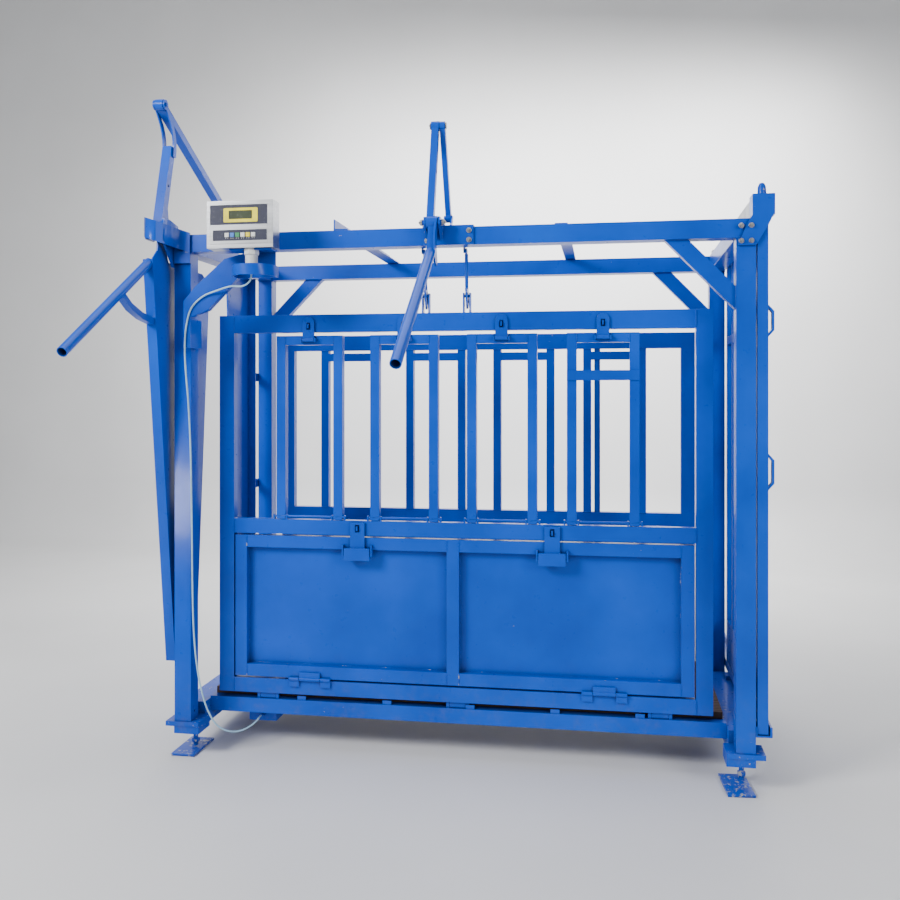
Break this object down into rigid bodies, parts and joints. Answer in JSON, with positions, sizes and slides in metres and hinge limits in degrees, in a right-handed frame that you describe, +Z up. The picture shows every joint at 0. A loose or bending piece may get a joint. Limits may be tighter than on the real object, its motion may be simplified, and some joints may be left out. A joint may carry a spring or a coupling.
{
  "type": "cattle squeeze chute",
  "caption": "Steel squeeze chute for holding and weighing an animal: squeeze side with drop gates, head gate, sliding tail gate, load-cell base and scale indicator.",
  "frame": {"origin": "middle of the bounding box's footprint, on the ground, measured without the cable", "axes": "+Z up, X along the chute with the tail gate at +X and the head gate at -X, -Y towards the operator with the levers"},
  "size_m": [2.4238, 2.4432, 2.654],
  "materials": {
    "blue_paint": "glossy brushed enamel",
    "cell_steel": "machined",
    "galvanised": "hot-dip galvanised",
    "deck_wood": "rough sawn",
    "stainless": "brushed",
    "navy_panel": "smooth film",
    "display_glass": "clear window over a grey display",
    "white_plastic": "smooth",
    "cable_sheath": "smooth",
    "blue_plastic": "smooth",
    "green_plastic": "smooth",
    "yellow_plastic": "smooth"
  },
  "bodies": {
    "base": {"base_frame": "blue_paint", "cross_beam_front": "blue_paint", "cross_beam_rear": "blue_paint", "far_side": "blue_paint", "floor_deck": "deck_wood", "foot_far_front": "blue_paint", "foot_far_rear": "blue_paint", "foot_near_front": "blue_paint", "foot_near_rear": "blue_paint", "head_far_jamb": "blue_paint", "indicator_bracket": "blue_paint", "indicator_cable": "cable_sheath", "indicator_case": "stainless", "indicator_display": "display_glass", "indicator_gland": "white_plastic", "indicator_panel": "navy_panel", "load_bar_front": "blue_paint", "load_bar_rear": "blue_paint", "load_cell_far_front": "cell_steel", "load_cell_far_rear": "cell_steel", "load_cell_near_front": "cell_steel", "load_cell_near_rear": "cell_steel", "post_far_front": "blue_paint", "post_far_rear": "blue_paint", "post_near_front": "blue_paint", "post_near_rear": "blue_paint", "squeeze_saddle": "blue_paint", "tail_track": "galvanised", "top_flat_bar": "blue_paint", "top_rail_far": "blue_paint", "top_rail_near": "blue_paint", "top_stay_angle": "blue_paint"},
    "squeeze_side": {"squeeze_side_frame": "blue_paint"},
    "side_door": {"side_door": "blue_paint"},
    "head_gate": {"head_gate": "blue_paint"},
    "head_link": {"head_link": "blue_paint"},
    "squeeze_lever": {"squeeze_lever": "blue_paint"},
    "squeeze_link": {"squeeze_link": "blue_paint"},
    "squeeze_rocker": {"squeeze_rocker": "blue_paint"},
    "squeeze_rod_front": {"squeeze_rod_front": "blue_paint"},
    "squeeze_rod_rear": {"squeeze_rod_rear": "blue_paint"},
    "tail_gate": {"tail_gate": "blue_paint"},
    "tail_lock_pin": {"tail_lock_pin": "blue_paint"},
    "drop_gate_1": {"drop_gate_1": "blue_paint"},
    "gate_latch_1": {"gate_latch_1": "blue_paint"},
    "drop_gate_2": {"drop_gate_2": "blue_paint"},
    "gate_latch_2": {"gate_latch_2": "blue_paint"},
    "drop_gate_3": {"drop_gate_3": "blue_paint"},
    "gate_latch_3": {"gate_latch_3": "blue_paint"},
    "drop_gate_4": {"drop_gate_4": "blue_paint"},
    "gate_latch_4": {"gate_latch_4": "blue_paint"},
    "door_latch_1": {"door_latch_1": "blue_paint"},
    "door_latch_2": {"door_latch_2": "blue_paint"},
    "key_1": {"key_1": "white_plastic"},
    "key_2": {"key_2": "blue_plastic"},
    "key_3": {"key_3": "green_plastic"},
    "key_4": {"key_4": "white_plastic"},
    "key_5": {"key_5": "yellow_plastic"},
    "key_6": {"key_6": "white_plastic"}
  },
  "joints": [
    {"name": "squeeze_lever_turn", "type": "hinge", "parent": "base", "child": "squeeze_lever", "pos_m": [-0.05105, -0.53345, 2.125], "axis": [1, 0, 0], "range_deg": [-6, 12]},
    {"name": "squeeze_rocker_turn", "type": "hinge", "parent": "base", "child": "squeeze_rocker", "pos_m": [-0.03505, -0.35845, 2.085], "axis": [1, 0, 0], "range_deg": [-12.98, 25.94]},
    {"name": "squeeze_link_turn", "type": "hinge", "parent": "squeeze_lever", "child": "squeeze_link", "pos_m": [-0.03105, -0.41945, 2.525], "axis": [1, 0, 0], "range_deg": [-6.5, 3.26]},
    {"name": "squeeze_rod_front_turn", "type": "hinge", "parent": "squeeze_rocker", "child": "squeeze_rod_front", "pos_m": [-0.11905, -0.37845, 2.035], "axis": [1, 0, 0], "range_deg": [-13.34, 6.68]},
    {"name": "squeeze_rod_rear_turn", "type": "hinge", "parent": "squeeze_rocker", "child": "squeeze_rod_rear", "pos_m": [0.04895, -0.37845, 2.035], "axis": [1, 0, 0], "range_deg": [-13.34, 6.68]},
    {"name": "squeeze_side_turn", "type": "hinge", "parent": "base", "child": "squeeze_side", "pos_m": [0.01095, -0.29845, 0.216], "axis": [1, 0, 0], "range_deg": [-2.42, 1.22]},
    {"name": "drop_gate_1_turn", "type": "hinge", "parent": "squeeze_side", "child": "drop_gate_1", "pos_m": [-0.60905, -0.31045, 0.965], "axis": [1, 0, 0], "range_deg": [0, 120]},
    {"name": "gate_latch_1_turn", "type": "hinge", "parent": "drop_gate_1", "child": "gate_latch_1", "pos_m": [-0.60905, -0.32945, 1.694], "axis": [1, 0, 0], "range_deg": [0, 170]},
    {"name": "drop_gate_2_turn", "type": "hinge", "parent": "squeeze_side", "child": "drop_gate_2", "pos_m": [-0.20905, -0.31045, 0.965], "axis": [1, 0, 0], "range_deg": [0, 120]},
    {"name": "gate_latch_2_turn", "type": "hinge", "parent": "drop_gate_2", "child": "gate_latch_2", "pos_m": [-0.20905, -0.32945, 1.694], "axis": [1, 0, 0], "range_deg": [0, 170]},
    {"name": "drop_gate_3_turn", "type": "hinge", "parent": "squeeze_side", "child": "drop_gate_3", "pos_m": [0.19095, -0.31045, 0.965], "axis": [1, 0, 0], "range_deg": [0, 120]},
    {"name": "gate_latch_3_turn", "type": "hinge", "parent": "drop_gate_3", "child": "gate_latch_3", "pos_m": [0.19095, -0.32945, 1.694], "axis": [1, 0, 0], "range_deg": [0, 170]},
    {"name": "drop_gate_4_turn", "type": "hinge", "parent": "squeeze_side", "child": "drop_gate_4", "pos_m": [0.59095, -0.31045, 0.965], "axis": [1, 0, 0], "range_deg": [0, 120]},
    {"name": "gate_latch_4_turn", "type": "hinge", "parent": "drop_gate_4", "child": "gate_latch_4", "pos_m": [0.59095, -0.32945, 1.694], "axis": [1, 0, 0], "range_deg": [0, 170]},
    {"name": "side_door_turn", "type": "hinge", "parent": "squeeze_side", "child": "side_door", "pos_m": [0.01095, -0.32745, 0.294], "axis": [1, 0, 0], "range_deg": [0, 100]},
    {"name": "door_latch_1_turn", "type": "hinge", "parent": "side_door", "child": "door_latch_1", "pos_m": [-0.40105, -0.33145, 0.817], "axis": [1, 0, 0], "range_deg": [0, 90]},
    {"name": "door_latch_2_turn", "type": "hinge", "parent": "side_door", "child": "door_latch_2", "pos_m": [0.39295, -0.33145, 0.817], "axis": [1, 0, 0], "range_deg": [0, 90]},
    {"name": "head_gate_turn", "type": "hinge", "parent": "base", "child": "head_gate", "pos_m": [-1.16605, -0.53845, 2.13], "axis": [1, 0, 0], "range_deg": [-13, 5]},
    {"name": "head_link_turn", "type": "hinge", "parent": "head_gate", "child": "head_link", "pos_m": [-1.16305, -0.52345, 2.632], "axis": [1, 0, 0], "range_deg": [-4.17, 10.81]},
    {"name": "tail_gate_slide", "type": "slide", "parent": "base", "child": "tail_gate", "axis": [0, 1, 0], "range_m": [0, 0.69]},
    {"name": "tail_lock_pin_lift", "type": "slide", "parent": "base", "child": "tail_lock_pin", "axis": [0, 0, 1], "range_m": [0, 0.05]},
    {"name": "key_1_press", "type": "slide", "parent": "base", "child": "key_1", "axis": [0, 1, 0], "range_m": [0, 0.0015], "stiffness_N_per_m": 400},
    {"name": "key_2_press", "type": "slide", "parent": "base", "child": "key_2", "axis": [0, 1, 0], "range_m": [0, 0.0015], "stiffness_N_per_m": 400},
    {"name": "key_3_press", "type": "slide", "parent": "base", "child": "key_3", "axis": [0, 1, 0], "range_m": [0, 0.0015], "stiffness_N_per_m": 400},
    {"name": "key_4_press", "type": "slide", "parent": "base", "child": "key_4", "axis": [0, 1, 0], "range_m": [0, 0.0015], "stiffness_N_per_m": 400},
    {"name": "key_5_press", "type": "slide", "parent": "base", "child": "key_5", "axis": [0, 1, 0], "range_m": [0, 0.0015], "stiffness_N_per_m": 400},
    {"name": "key_6_press", "type": "slide", "parent": "base", "child": "key_6", "axis": [0, 1, 0], "range_m": [0, 0.0015], "stiffness_N_per_m": 400}
  ],
  "couplings": [
    {"joint": "squeeze_rocker_turn", "follows": "squeeze_lever_turn", "ratio": 2.16},
    {"joint": "squeeze_link_turn", "follows": "squeeze_lever_turn", "ratio": -0.54},
    {"joint": "squeeze_rod_front_turn", "follows": "squeeze_lever_turn", "ratio": -1.11},
    {"joint": "squeeze_rod_rear_turn", "follows": "squeeze_lever_turn", "ratio": -1.11},
    {"joint": "squeeze_side_turn", "follows": "squeeze_lever_turn", "ratio": -0.2},
    {"joint": "head_link_turn", "follows": "head_gate_turn", "ratio": -0.83}
  ]
}
